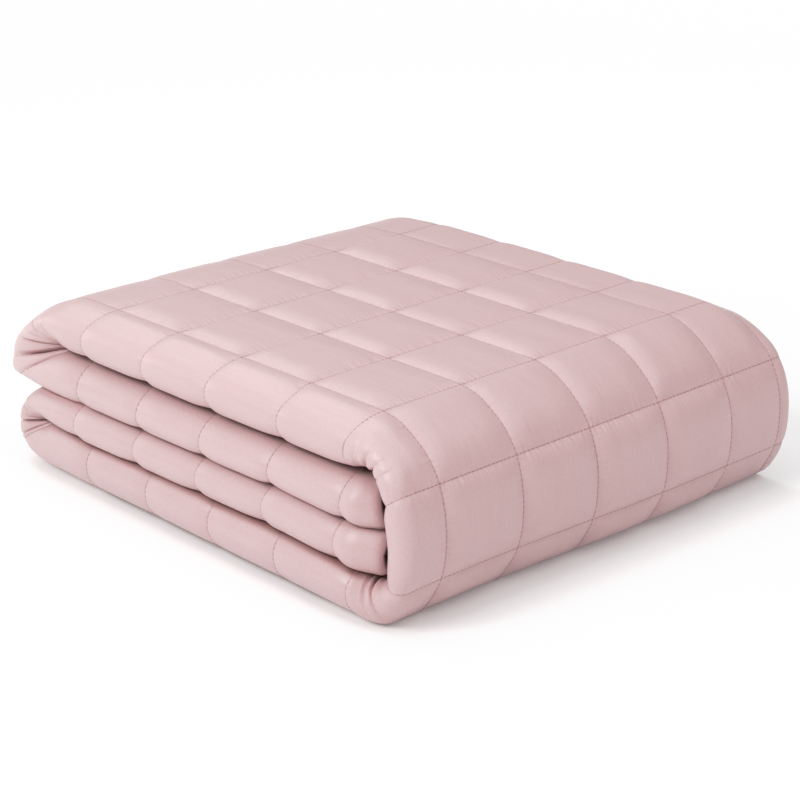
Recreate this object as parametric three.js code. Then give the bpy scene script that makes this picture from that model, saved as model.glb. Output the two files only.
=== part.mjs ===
import * as THREE from 'three';

// A quilted bedspread of about 2.2 by 2.4 m, sewn in squares and folded for the shelf.
// It is folded in half twice across its width, which gives a strip four plies thick. The strip's two
// ends are folded to its middle, and the strip is then folded in half.
// X runs along the strip, Y across it, Z up. Sizes are millimetres.

// Cloth
const SQUARE = 100; // side of a quilting square
const SLIT = 0.8; // air between two plies that lie on each other
const PLIES = 4;
const PUFF = 6; // rise of a square above its seams, where nothing presses on it
const HEM = 17; // seam of the hem, from the edge of the cloth

// Pile, as seen along Y: its layers from the top down, the Y at which each begins at its fold and ends at
// its open edge, the X of the first of the seams that cross it, and how free its squares are to rise
const LAYERS = {
  first: { top: 188.0, bottom: 141.8, foldEdge: 50, openEdge: 597, seamX: 100, open: 1 },
  second: { top: 141.0, bottom: 91.6, foldEdge: 45, openEdge: 592, seamX: 95, open: 0 },
  third: { top: 90.8, bottom: 46.6, foldEdge: 40, openEdge: 590, seamX: 91, open: 0 },
  fourth: { top: 45.8, bottom: 0.0, foldEdge: 42, openEdge: 595, seamX: 112, open: 0 },
};
const SEAMS_PER_LAYER = 5;
const SEAMS_PER_TURN = 3;

// Free ends of the strip, inside the wrap: where its face and its back end
const FREE_ENDS = {
  second: { face: 538, back: 524 },
  third: { face: 540, back: 540 },
};

// Turns at the left, where two layers join: the fold's centre, its reach to the left, how far it sags
// and how square its lower half is
const TURNS = {
  upper: { x: 60, reach: 104, sag: 47, squareness: 3.5 },
  lower: { x: 30, reach: 62, sag: 20, squareness: 2.2 },
};
const TURN_STEPS = 16;

// Wrap at the right, where the first layer runs round the others into the fourth
const WRAP = { topX: 500, bottomX: 512, right: 586, waistTop: 88, waistBottom: 83, squareness: 2.8 };
const HOLLOW = { x: 500, right: 546, squareness: 5 };
const WRAP_STEPS = 12;

// Section of the strip. Its seams lie at every square of Y, the first one under the fold.
const LAYER_THICKNESS = 46.4;
const PLY = (LAYER_THICKNESS - (PLIES - 1) * SLIT) / PLIES;
const NOSE_LENGTH = 35; // from the fold's edge to where the faces are flat
const NOSE_STEPS = 8;
const INNER_FOLD_STEPS = 4;
const INNER_FOLD_GAP = 6; // the nested fold stays this far behind the outer one
const BACK_FOLD_INSET = 9; // the fold in the open edge stays this far behind the hems
const SINK = { from: 540, share: 0.065 }; // the pile gets thinner by this share towards its open edge
const SEAMS_ACROSS = 5;
const STEPS_PER_SQUARE = 2;
const FINE = 400; // points that a turn is measured with

const { first, second, third, fourth } = LAYERS;
const mix = (a, b, t) => a + (b - a) * t;

function superellipse(angle, squareness) {
  // Angle 0 is straight up and a quarter turn is sideways.
  const power = 2 / squareness;
  return {
    side: Math.abs(Math.sin(angle)) ** power,
    up: Math.sign(Math.cos(angle)) * Math.abs(Math.cos(angle)) ** power,
  };
}

// Stations along the strip. A station has the place, in X and Z, of the strip's face and of its back, with
// v, the number of seams passed, and open, how free its squares are to rise.
function layerStation(layer, faceX, backX, v, faceUp) {
  const [face, back] = faceUp ? [layer.top, layer.bottom] : [layer.bottom, layer.top];
  return {
    face: [faceX, face], back: [backX, back], v,
    open: layer.open, foldEdge: layer.foldEdge, openEdge: layer.openEdge,
  };
}

function layerRun(layer, v, faceUp) {
  // From the layer's first seam to its last, or back to the first where the face is below.
  const squares = SEAMS_PER_LAYER - 1;
  const stations = [];
  for (let i = 0; i <= squares * STEPS_PER_SQUARE; i++) {
    const done = i / STEPS_PER_SQUARE;
    const x = layer.seamX + (faceUp ? done : squares - done) * SQUARE;
    stations.push(layerStation(layer, x, x, v + done, faceUp));
  }
  return stations;
}

function evenly(path, from, to, steps) {
  // Points at even distances along the face of a finely measured path, without its two ends.
  const along = [0];
  for (let i = 1; i < path.length; i++) {
    const [a, b] = [path[i - 1].face, path[i].face];
    along.push(along[i - 1] + Math.hypot(b[0] - a[0], b[1] - a[1]));
  }
  const picked = [];
  for (let k = 1; k < steps; k++) {
    const wanted = (along[along.length - 1] * k) / steps;
    const i = along.findIndex((value) => value >= wanted);
    const t = (wanted - along[i - 1]) / (along[i] - along[i - 1]);
    const blend = (name) => path[i][name].map((value, n) => mix(path[i - 1][name][n], value, t));
    const part = k / steps;
    picked.push({
      face: blend('face'),
      back: blend('back'),
      v: mix(from.v, to.v, part),
      open: mix(path[i - 1].open, path[i].open, t),
      foldEdge: mix(from.foldEdge, to.foldEdge, part),
      openEdge: mix(from.openEdge, to.openEdge, part),
    });
  }
  return picked;
}

function turnPath(turn, upper, lower, openAt, from, to) {
  // The fold at the left, from below. It is an ellipse, squarer below, and its weight makes it sag to the
  // left. The strip's back is pinched between the two layers.
  const middle = (upper.top + lower.bottom) / 2;
  const half = (upper.top - lower.bottom) / 2;
  const pinch = (upper.bottom + lower.top) / 2;
  const air = (upper.bottom - lower.top) / 2;
  const path = [from];
  for (let i = 0; i <= FINE; i++) {
    const angle = Math.PI * (1 - i / FINE);
    const { side, up } = superellipse(angle, angle < Math.PI / 2 ? 2 : turn.squareness);
    const sag = (turn.sag * side ** 2 * (1 + up)) / 2;
    path.push({
      face: [turn.x - turn.reach * side, middle + half * up - sag],
      back: [turn.x - air * Math.sin(angle), pinch + air * Math.cos(angle)],
      open: openAt(angle),
    });
  }
  path.push(to);
  return evenly(path, from, to, TURN_STEPS);
}

function wrapPath(from, to) {
  // The strip's face goes round two quarter ellipses, its back round the hollow that the others fill.
  const middle = (first.bottom + fourth.top) / 2;
  const half = (first.bottom - fourth.top) / 2;
  const path = [from];
  for (let i = 0; i <= FINE; i++) {
    const angle = (Math.PI * i) / FINE;
    const above = angle < Math.PI / 2;
    const { side, up } = superellipse(angle, above ? 2 : WRAP.squareness);
    const cornerX = above ? WRAP.topX : WRAP.bottomX;
    const waist = above ? WRAP.waistTop : WRAP.waistBottom;
    const rise = above ? first.top - waist : waist - fourth.bottom;
    const inner = superellipse(angle, HOLLOW.squareness);
    path.push({
      face: [mix(cornerX, WRAP.right, side), waist + rise * up],
      back: [mix(HOLLOW.x, HOLLOW.right, inner.side), middle + half * inner.up],
      open: above ? 1 : side,
    });
  }
  path.push(to);
  return evenly(path, from, to, WRAP_STEPS);
}

function strip() {
  const start = 1;
  const perLayer = SEAMS_PER_LAYER - 1 + SEAMS_PER_TURN;
  const layers = [
    layerRun(second, start, false),
    layerRun(first, start + perLayer, true),
    layerRun(fourth, start + 2 * perLayer, false),
    layerRun(third, start + 3 * perLayer, true),
  ];
  const freeEnd = (name, seam, vStep, faceUp) => {
    const { face, back } = FREE_ENDS[name];
    const past = (face - seam.face[0]) / SQUARE;
    return layerStation(LAYERS[name], face, back, seam.v + vStep * past, faceUp);
  };
  return [
    freeEnd('second', layers[0][0], -1, false),
    ...layers[0],
    ...turnPath(TURNS.upper, first, second, (angle) => Math.cos(angle / 2), layers[0].at(-1), layers[1][0]),
    ...layers[1],
    ...wrapPath(layers[1].at(-1), layers[2][0]),
    ...layers[2],
    ...turnPath(TURNS.lower, third, fourth, Math.sin, layers[2].at(-1), layers[3][0]),
    ...layers[3],
    freeEnd('third', layers[3].at(-1), 1, true),
  ];
}

// Section across the strip: the cloth's own path, from the hem of the outermost ply round the fold to the
// last ply, round the fold in the open edge, back, round the nested fold and out again.
// A point has y and depth below the face, and the direction in which the path goes there.
function bend(centreY, centreDepth, radiusY, radiusDepth, side, down, steps) {
  const points = [];
  for (let i = 0; i <= steps; i++) {
    const angle = (Math.PI * i) / steps;
    const [s, c] = [Math.sin(angle), Math.cos(angle)];
    const going = [side * radiusY * c, down * radiusDepth * s];
    const length = Math.hypot(...going);
    points.push({
      y: centreY + side * radiusY * s, depth: centreDepth - down * radiusDepth * c,
      going: going.map((value) => value / length), both: true,
    });
  }
  return points;
}

function clothPath(foldEdge, openEdge) {
  const depthOf = (ply) => PLY / 2 + ply * (PLY + SLIT);
  const points = [{ y: openEdge, depth: depthOf(0), going: [-1, 0], both: true }];
  points.push({ y: openEdge - HEM, depth: depthOf(0), going: [-1, 0], u: 0 });
  for (let k = SEAMS_ACROSS * 2 + 1; k >= 2; k--) {
    points.push({ y: (k * SQUARE) / 2, depth: depthOf(0), going: [-1, 0], u: k / 2 });
  }
  const length = NOSE_LENGTH - PLY / 2;
  const depth = (LAYER_THICKNESS - PLY) / 2;
  points.push(...bend(foldEdge + NOSE_LENGTH, LAYER_THICKNESS / 2, length, depth, -1, 1, NOSE_STEPS));
  const radius = (PLY + SLIT) / 2;
  const backFoldY = openEdge - BACK_FOLD_INSET - PLY / 2 - radius;
  points.push(...bend(backFoldY, depthOf(2.5), radius, radius, 1, -1, INNER_FOLD_STEPS));
  const nestedY = foldEdge + PLY + SLIT + INNER_FOLD_GAP + PLY / 2 + radius;
  points.push(...bend(nestedY, depthOf(1.5), radius, radius, -1, -1, INNER_FOLD_STEPS));
  points.push({ y: openEdge - HEM / 4, depth: depthOf(1), going: [1, 0], both: true });
  return points;
}

function outline({ foldEdge, openEdge }) {
  // Both sides of the cloth, as one closed loop. A point's lift says how far the puffs raise it from the
  // strip's face, and its push how far they push it out past the fold.
  const path = clothPath(foldEdge, openEdge);
  const side = (p, half) => ({ y: p.y - half * p.going[1], depth: p.depth + half * p.going[0], u: p.u });
  const outside = path.map((p) => side(p, PLY / 2));
  const inside = path.filter((p) => p.both).reverse().map((p) => side(p, -PLY / 2));
  const flat = outside.filter((p) => p.u !== undefined).length + 1;
  const rise = ({ u, depth }, i) => {
    if (i > flat + NOSE_STEPS) return { lift: 0, push: 0 };
    if (i < flat) return { lift: u ? Math.sqrt(Math.abs(Math.sin(Math.PI * u))) : 0, push: 0 };
    const part = depth / LAYER_THICKNESS;
    return { lift: Math.max(0, 1 - 2 * part), push: Math.sin(Math.PI * part) };
  };
  return [
    ...outside.map((p, i) => ({ ...p, ...rise(p, i) })),
    ...inside.map((p) => ({ ...p, lift: 0, push: 0 })),
  ];
}

function endTriangles() {
  // The strip's two ends are flat: triangles between the two sides of the cloth's section.
  const path = clothPath(first.foldEdge, first.openEdge);
  const triangles = [];
  let inside = path.length + path.filter((p) => p.both).length - 1;
  for (let i = 0; i + 1 < path.length; i++) {
    triangles.push([i, i + 1, inside]);
    if (path[i + 1].both) {
      triangles.push([i + 1, inside - 1, inside]);
      inside -= 1;
    }
  }
  return triangles;
}

function place(station, point) {
  const [fx, fz] = station.face;
  const [bx, bz] = station.back;
  const thick = Math.hypot(fx - bx, fz - bz);
  const puff = PUFF * Math.abs(Math.sin(Math.PI * station.v)) ** 0.5;
  const part = point.depth / LAYER_THICKNESS;
  const rise = (puff * point.lift * station.open) / thick;
  const sunk = SINK.share * THREE.MathUtils.smoothstep(point.y, SINK.from, station.openEdge);
  return [
    mix(fx, bx, part) + (fx - bx) * rise,
    point.y - puff * point.push,
    Math.max(0, mix(fz, bz, part) + (fz - bz) * rise) * (1 - sunk),
  ];
}

function bedspread() {
  const stations = strip();
  const rings = stations.map((station) => outline(station).map((point) => place(station, point)));
  const count = rings[0].length;
  const positions = rings.flat(2);
  const index = [];
  for (let row = 0; row + 1 < rings.length; row++) {
    for (let i = 0; i < count; i++) {
      const [a, b] = [row * count + i, row * count + ((i + 1) % count)];
      index.push(a, b, a + count, b, b + count, a + count);
    }
  }
  const lastRow = (rings.length - 1) * count;
  for (const [a, b, c] of endTriangles()) {
    index.push(b, a, c, lastRow + a, lastRow + b, lastRow + c);
  }
  const geometry = new THREE.BufferGeometry();
  geometry.setAttribute('position', new THREE.Float32BufferAttribute(positions, 3));
  geometry.setIndex(index);
  geometry.computeVertexNormals();
  return geometry;
}

const cotton = new THREE.MeshStandardMaterial({ color: 0xe3cccd, roughness: 0.8, metalness: 0 });
const quilt = new THREE.Mesh(bedspread(), cotton);
quilt.name = 'quilted_bedspread';

// The origin is the middle of the underside.
const box = new THREE.Box3().setFromObject(quilt);
quilt.position.set(-(box.min.x + box.max.x) / 2, -(box.min.y + box.max.y) / 2, -box.min.z);

const model = new THREE.Group();
model.add(quilt);

export default model;
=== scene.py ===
import math

import bpy
import numpy as np
from mathutils import Matrix


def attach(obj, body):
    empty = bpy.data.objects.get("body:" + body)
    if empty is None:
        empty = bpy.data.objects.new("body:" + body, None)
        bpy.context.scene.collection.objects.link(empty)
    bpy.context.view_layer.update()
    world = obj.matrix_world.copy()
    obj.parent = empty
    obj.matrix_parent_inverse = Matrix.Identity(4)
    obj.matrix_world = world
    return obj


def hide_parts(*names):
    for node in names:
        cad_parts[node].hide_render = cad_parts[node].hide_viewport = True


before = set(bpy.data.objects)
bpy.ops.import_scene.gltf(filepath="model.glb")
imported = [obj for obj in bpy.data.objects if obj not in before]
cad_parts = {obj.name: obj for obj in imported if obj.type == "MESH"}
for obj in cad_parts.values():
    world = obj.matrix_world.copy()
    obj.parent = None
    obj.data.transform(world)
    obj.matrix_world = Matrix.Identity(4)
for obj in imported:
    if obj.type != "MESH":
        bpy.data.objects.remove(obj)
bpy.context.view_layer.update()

# Sizes are metres. The pile is worked out in the cloth's own place, with X along the folded strip, Y across
# it from the hidden seam under its rounded fold, and Z up. PILE_MIDDLE then moves it to the frame's origin.
PILE_MIDDLE = (0.2727, 0.3155)
SQUARE = 0.100
PLIES = 4
SLIT = 0.0008
NEARLY = 1e-6
TINY = 1e-12

# Layers of the pile: how high they lie, and the X of the first of the seams that cross them
LAYERS = {
    "first": {"top": 0.1880, "bottom": 0.1415, "seam_x": 0.100},
    "second": {"top": 0.1408, "bottom": 0.0914, "seam_x": 0.095},
    "third": {"top": 0.0907, "bottom": 0.0463, "seam_x": 0.091},
    "fourth": {"top": 0.0457, "bottom": 0.0, "seam_x": 0.112},
}
SQUARES_PER_LAYER = 4

# The strip from one free end to the other: the number of squares passed where each stretch begins
STRETCHES = {
    "second": 1, "upper turn": 5, "first": 8, "wrap": 12, "fourth": 15, "lower turn": 19, "third": 22,
}
STRIP_ENDS = (0.5, 26.5)
FREE_END_X = {"second": (0.539, 0.525), "third": (0.541, 0.541)}

# Turns at the left: the fold's centre, reach and sag, how square its halves are, and the shares of its seams
TURNS = {
    "upper turn": {
        "x": 0.060, "reach": 0.105, "sag": 0.044, "square_above": 2.7, "square_below": 6.5,
        "seams": (0, 0.36, 0.66, 1),
    },
    "lower turn": {
        "x": 0.030, "reach": 0.064, "sag": 0.018, "square_above": 2.3, "square_below": 2.5,
        "seams": (0, 0.45, 0.62, 1),
    },
}

# Face of the wrap at the right: X beside the rounded fold, X beside the open edge, and Z
WRAP_FACE = (
    (0.5000, 0.5000, 0.1880),
    (0.5220, 0.5200, 0.1830),
    (0.5370, 0.5360, 0.1750),
    (0.5530, 0.5510, 0.1640),
    (0.5640, 0.5640, 0.1520),
    (0.5730, 0.5745, 0.1370),
    (0.5790, 0.5840, 0.1170),
    (0.5815, 0.5880, 0.1020),
    (0.5820, 0.5895, 0.0770),
    (0.5800, 0.5885, 0.0600),
    (0.5760, 0.5855, 0.0460),
    (0.5650, 0.5760, 0.0250),
    (0.5540, 0.5660, 0.0090),
    (0.5470, 0.5560, 0.0020),
    (0.5400, 0.5480, 0.0000),
    (0.5120, 0.5120, 0.0000),
)

# The Y where the one X of the wrap begins to give way to the other and where it has, and the seams' shares
WRAP_FAR = (0.15, 0.42)
WRAP_SEAMS = (0, 0.335, 0.68, 1)

# Back of the strip inside the wrap: squares passed, X and Z
WRAP_BACK = (
    (12.00, 0.495, 0.1415),
    (12.35, 0.515, 0.1450),
    (12.60, 0.525, 0.1440),
    (12.80, 0.531, 0.1310),
    (13.00, 0.537, 0.1120),
    (13.50, 0.540, 0.0780),
    (14.00, 0.540, 0.0480),
    (14.25, 0.534, 0.0457),
    (15.00, 0.512, 0.0457),
)

# Rounded fold across the strip
FOLD_SHAPE = (
    # squares passed, Y of its edge, how far its bend reaches along the face and along the back, the part of
    # the thickness at which it sticks out most, and how round the bend is at the back
    (0.50, 0.0590, 0.012, 0.050, 0.30, 2.0),
    (0.85, 0.0455, 0.011, 0.054, 0.30, 2.0),
    (5.00, 0.0455, 0.011, 0.054, 0.30, 2.0),
    (6.00, 0.0470, 0.020, 0.048, 0.30, 1.7),
    (6.50, 0.0525, 0.032, 0.046, 0.28, 1.5),
    (7.20, 0.0520, 0.042, 0.036, 0.36, 1.7),
    (8.00, 0.0500, 0.050, 0.019, 0.53, 2.0),
    (12.0, 0.0510, 0.049, 0.019, 0.53, 2.0),
    (12.5, 0.0500, 0.027, 0.032, 0.38, 2.0),
    (13.0, 0.0470, 0.011, 0.058, 0.21, 2.0),
    (13.6, 0.0485, 0.010, 0.058, 0.20, 2.0),
    (14.0, 0.0470, 0.011, 0.058, 0.21, 2.0),
    (14.5, 0.0430, 0.024, 0.032, 0.46, 2.0),
    (15.0, 0.0375, 0.032, 0.020, 0.62, 2.0),
    (19.0, 0.0405, 0.034, 0.020, 0.62, 2.0),
    (19.8, 0.0450, 0.036, 0.034, 0.48, 1.7),
    (20.5, 0.0500, 0.036, 0.040, 0.30, 1.5),
    (21.2, 0.0460, 0.034, 0.032, 0.40, 1.7),
    (22.0, 0.0415, 0.034, 0.020, 0.56, 2.0),
    (26.15, 0.0415, 0.034, 0.020, 0.56, 2.0),
    (26.5, 0.0560, 0.034, 0.020, 0.56, 2.0),
)
FACE_ROUND = 2.0

# Open edge across the strip: the hems, the last seam, the border's stitch and the fold that lies just inside
OPEN_EDGE = 0.597
LAST_SEAM_U = 5
BORDER_U = 5.8
HEM_U = OPEN_EDGE / SQUARE
HEM_RIM = 0.0045
HEM_THICK = 0.95
WHOLE_FROM_HEM = 0.04
SECOND_HEM_INSET = 0.004
BACK_FOLD_INSET = 0.009
NESTED_GAP = 0.006
OPEN_SINK = {"start": 0.556, "depth": 0.0150}
CORNER_SINK = {"y": (0.22, 0.50), "x": (0.12, 0.02), "depth": 0.003}

# Gaps between the layers where the rounded folds lie: X, and how much higher they are than further back
GAP_LIFTS = (
    # X, under the first layer, under the second, under the third
    (-0.05, 0.0, 0.0010, 0.0050),
    (0.01, 0.0005, 0.0022, 0.0080),
    (0.06, 0.0022, 0.0040, 0.0095),
    (0.10, 0.0025, 0.0046, 0.0090),
    (0.22, 0.0018, 0.0050, 0.0095),
    (0.33, 0.0006, 0.0060, 0.0090),
    (0.42, 0.0010, 0.0070, 0.0092),
    (0.50, 0.0012, 0.0040, 0.0045),
    (0.535, 0.0012, 0.0022, 0.0),
    (0.56, 0.0, 0.0, 0.0),
)
GAP_LIFTS_END_Y = (0.07, 0.22)

# Painted shade in the gaps and creases: the Y where it ends, and the depth of a crease shaded as dark as a
# gap
PAINTED_SHADE_ENDS = 0.140
CREASE_FULL_SHADE_DEPTH = 0.0076

# Creases on the rounded fold
CREASES = (
    # where it is, squares passed at the fold's face and at its back, the place round the fold where it
    # starts, its depth and its width in squares
    ("upper turn, under the first layer", 7.05, 6.95, 0.30, 0.0072, 0.034),
    ("upper turn, first of the fan", 7.22, 7.10, 0.25, 0.0024, 0.022),
    ("upper turn, second of the fan", 7.36, 7.18, 0.28, 0.0018, 0.020),
    ("upper turn, third of the fan", 6.90, 6.84, 0.25, 0.0026, 0.022),
    ("upper turn, thin", 6.68, 6.60, 0.26, 0.0055, 0.024),
    ("upper turn, deep", 6.33, 6.36, 0.24, 0.0090, 0.030),
    ("upper turn, over the second layer", 5.98, 6.12, 0.32, 0.0074, 0.026),
    ("lower turn, first of the fan", 21.25, 21.10, 0.27, 0.0020, 0.022),
    ("lower turn, top", 21.02, 20.95, 0.27, 0.0060, 0.024),
    ("lower turn, second of the fan", 20.86, 20.80, 0.32, 0.0024, 0.020),
    ("lower turn, short", 20.66, 20.66, 0.48, 0.0066, 0.026),
    ("lower turn, middle", 20.42, 20.50, 0.30, 0.0060, 0.024),
    ("lower turn, bottom", 20.06, 20.20, 0.34, 0.0072, 0.025),
    ("wrap, first above", 12.20, 12.30, 0.50, 0.0018, 0.035),
    ("wrap, second above", 12.36, 12.46, 0.42, 0.0052, 0.032),
    ("wrap, at the notch", 12.60, 12.58, 0.46, 0.0056, 0.028),
    ("wrap, third above", 12.74, 12.66, 0.62, 0.0020, 0.030),
    ("wrap, first below", 14.40, 14.20, 0.60, 0.0030, 0.026),
    ("wrap, second below", 14.60, 14.34, 0.38, 0.0068, 0.026),
    ("wrap, third below", 14.80, 14.50, 0.56, 0.0040, 0.026),
)

# How pointed a crease is, over what part of the way round the fold it deepens, and where it begins to fade
CREASE_SHARP = 1.3
CREASE_GROWS = 0.35
CREASE_ENDS = 0.85

# Rows of the mesh beside a crease, in squares from it
CREASE_ROWS = (-0.060, -0.036, -0.018, 0.0, 0.018, 0.036, 0.060)

# Seams across the strip, by squares passed, and those that the creases add on the rounded fold
SEAMS = range(28)
CREASED_SEAMS = sorted((*SEAMS, 6.33, 6.66, 12.2, 12.40, 12.60, 12.72, 14.2, 14.4, 14.6, 20.45, 20.70))

# Seams on the rounded fold
SEAM_WANDER = (
    # squares passed, and how far they lie to the right of their straight way and above it
    (0.5, 0.0, 0.0),
    (1.0, 0.003, 0.0),
    (2.0, 0.002, 0.0),
    (3.0, 0.0, 0.0),
    (10.0, 0.0005, 0.0),
    (11.0, 0.0060, 0.0),
    (12.0, 0.0015, 0.0),
    (13.0, 0.0, 0.0),
    (14.0, 0.0, -0.001),
    (14.6, 0.0, 0.0),
    (15.0, 0.003, 0.0),
    (16.0, 0.001, 0.0),
    (25.0, 0.001, 0.0),
    (26.0, 0.002, 0.0),
    (26.5, 0.0, 0.0),
)

# Over these shares of the fold and of the back, the seams leave their straight way and come back to it
WANDER_ENDS = {"fold": 0.35, "back": 0.5}

# Stretches where the face is free to rise, where it is in sight and its face side is spared the painted
# shade of the gaps, and where it belongs to a turn
FACE_FREE = ((5.3, 6.3, 14.5, 15.0), (19.2, 20.4, 20.8, 21.8))
FACE_IN_SIGHT = ((4.8, 5.6, 14.8, 15.6), (18.8, 19.6, 21.6, 22.2))
ON_TURN = ((5.4, 5.9, 7.7, 8.0), (19.3, 19.8, 21.5, 22.0))

# Puffs: how far a square rises above its seams on the open faces and on the rounded fold
PUFF_FACE = 0.0052
PUFF_FOLD = 0.0034

# The shares of a square that its shoulders take, how round they are, and how much squares differ
PUFF_SHOULDERS = (0.22, 0.36)
PUFF_ROUND = 2.3
PUFF_VARIETY = 0.14
PUFF_SEED = 7
PUFF_DRAWS = (28, 8)

# Shares of the height that are left on the turns, in the border and in the hem
PUFF_TURN_SHARE = 0.22
PUFF_BORDER = 0.4
PUFF_HEM = 0.3

# Squares are pressed flat between the layers and on the underside: the Y and Z over which that comes about
PRESSED = {"y": (0.060, 0.080), "z": (0.001, 0.028)}

# Shares of the way round the fold between which the free face ends, and a turn's own share of the height
FREE_FACE_ENDS = (0.15, 0.45)
TURN_SHARE_ENDS = (0.3, 0.6)

# Shares of it between which the fold's height takes over, and the creases divide the squares
FACE_TO_FOLD = (0, 0.4)
CREASED_FROM = (0.25, 0.55)

# Mesh: steps in half a square, and how much closer together they are beside a seam
STEPS_PER_HALF = 12
NEAR_SEAM = 1.35

# Least distance in squares between a crease's rows
CREASE_ROW_GAP = 0.006

# Every how many rows or columns are kept where the face is hidden, inside the pile and along the hem's rim
HIDDEN_STEP = 6
INNER_STEP = 4
RIM_STEP = 2

# Stretches where the face shows, by squares passed
SHOWN_STRETCHES = ((4.5, 15.5), (18.5, 22.5))

# Points on the curves, and the thickness that is left at the strip's free ends, as a share
CURVE_POINTS = 300
BEND_POINTS = 160
THINNEST_END = 0.2


def smooth(start, end, x):
    """0 up to the start and 1 from the end on, eased between."""
    t = np.clip((x - start) / (end - start), 0, 1)
    return t * t * (3 - 2 * t)


def mix(a, b, t):
    """What lies a share t of the way from a to b."""
    return a + (b - a) * t


def eased(table, v):
    """The columns of a table whose first column is v, eased from row to row."""
    rows = np.array(table)
    i = np.clip(np.searchsorted(rows[:, 0], v, "right") - 1, 0, len(rows) - 2)
    t = smooth(rows[i, 0], rows[i + 1, 0], v)[:, None]
    return mix(rows[i, 1:], rows[i + 1, 1:], t).T[:, :, None]


def superellipse(angle, square):
    """Sideways and upward part of a superellipse. Angle 0 is straight up."""
    side = np.abs(np.sin(angle)) ** (2 / square)
    up = np.sign(np.cos(angle)) * np.abs(np.cos(angle)) ** (2 / square)
    return side, up


# Strip: its face, which ends up outside, and its back, in X and Z, by squares passed


def layer_stretch(name, face_up):
    """Squares passed, face and back at the two ends of a flat layer."""
    layer = LAYERS[name]
    passed = np.array([0.0, SQUARES_PER_LAYER])
    x = layer["seam_x"] + SQUARE * (passed if face_up else passed[::-1])
    top = np.stack([x, np.full(2, layer["top"])], 1)
    bottom = np.stack([x, np.full(2, layer["bottom"])], 1)
    face, back = (top, bottom) if face_up else (bottom, top)
    return STRETCHES[name] + passed, face, back


def turn_stretch(name, upper, lower, start, end):
    """The fold between two layers. Its back is pinched between them."""
    turn, upper, lower = TURNS[name], LAYERS[upper], LAYERS[lower]
    angle = np.linspace(math.pi, 0, CURVE_POINTS)
    square = np.where(angle < math.pi / 2, turn["square_above"], turn["square_below"])
    side, up = superellipse(angle, square)
    middle, half = (upper["top"] + lower["bottom"]) / 2, (upper["top"] - lower["bottom"]) / 2
    sag = turn["sag"] * side**2 * (1 + up) / 2
    face = np.stack([turn["x"] - turn["reach"] * side, middle + half * up - sag], 1)
    pinch, air = (upper["bottom"] + lower["top"]) / 2, (upper["bottom"] - lower["top"]) / 2
    back = np.stack([turn["x"] - air * np.sin(angle), pinch + air * np.cos(angle)], 1)
    face = np.concatenate([[start[0]], face, [end[0]]])
    back = np.concatenate([[start[1]], back, [end[1]]])
    return passed_along(face, name, turn["seams"]), face, back


def smooth_curve(points):
    """A smooth curve through the points of a table."""
    points = np.array(points)
    t = np.concatenate([[0], np.cumsum(np.linalg.norm(np.diff(points, axis=0), axis=1))])
    slope = np.gradient(points, t, axis=0)
    at = np.linspace(0, t[-1], CURVE_POINTS)
    i = np.clip(np.searchsorted(t, at, "right") - 1, 0, len(t) - 2)
    gap = (t[i + 1] - t[i])[:, None]
    q = ((at - t[i])[:, None]) / gap
    ends = mix(points[i], points[i + 1], q * q * (3 - 2 * q))
    return ends + gap * q * (1 - q) * ((1 - q) * slope[i] - q * slope[i + 1])


def wrap_stretch():
    """The first layer's way round the others into the fourth. Its face has an X of its own far back."""
    near_x, far_x, z = smooth_curve(WRAP_FACE).T
    face = np.stack([near_x, z], 1)
    v = passed_along(face, "wrap", WRAP_SEAMS)
    table = np.array(WRAP_BACK)
    back = np.stack([np.interp(v, table[:, 0], table[:, i]) for i in (1, 2)], 1)
    return v, face, back, far_x - near_x


def passed_along(face, name, seams):
    """Squares passed at each point of a face whose seams lie at those shares of its length."""
    along = np.concatenate([[0], np.cumsum(np.linalg.norm(np.diff(face, axis=0), axis=1))])
    return STRETCHES[name] + np.interp(along / along[-1], seams, range(len(seams)))


def strip_guide(v):
    """Face and back of the strip at each v, in X and Z, its thickness, and how far its X grows far back."""
    second, first = layer_stretch("second", False), layer_stretch("first", True)
    fourth, third = layer_stretch("fourth", False), layer_stretch("third", True)
    turn_up = turn_stretch(
        "upper turn", "first", "second", (second[1][1], second[2][1]), (first[1][0], first[2][0])
    )
    *wrap, farther = wrap_stretch()
    turn_down = turn_stretch(
        "lower turn", "third", "fourth", (fourth[1][1], fourth[2][1]), (third[1][0], third[2][0])
    )
    stretches = [second, turn_up, first, wrap, fourth, turn_down, third]
    free = []
    for name, at, stretch, i in (("second", 0, second, 0), ("third", 1, third, 1)):
        face_x, back_x = FREE_END_X[name]
        free.append((
            np.array([STRIP_ENDS[at]]),
            np.array([[face_x, stretch[1][i][1]]]),
            np.array([[back_x, stretch[2][i][1]]]),
        ))
    stretches = [free[0], *stretches, free[1]]
    all_v = np.concatenate([s[0] for s in stretches])
    order = np.argsort(all_v, kind="stable")
    sides = []
    for side in (1, 2):
        points = np.concatenate([s[side] for s in stretches])[order]
        sides.append(np.stack([np.interp(v, all_v[order], points[:, i]) for i in (0, 1)], 1))
    face, back = sides
    farther = np.interp(v, wrap[0], farther, left=0, right=0)[:, None]
    return face, back, np.linalg.norm(face - back, axis=1)[:, None], farther


# Section across the strip: the parts of the cloth's path, from the outermost ply's hem to the innermost's

PARTS = range(7)
OUTERMOST, FOLD, SECOND, BACK_FOLD, THIRD, NESTED_FOLD, INNERMOST = PARTS
OUTER, INNER = 1, -1


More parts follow.
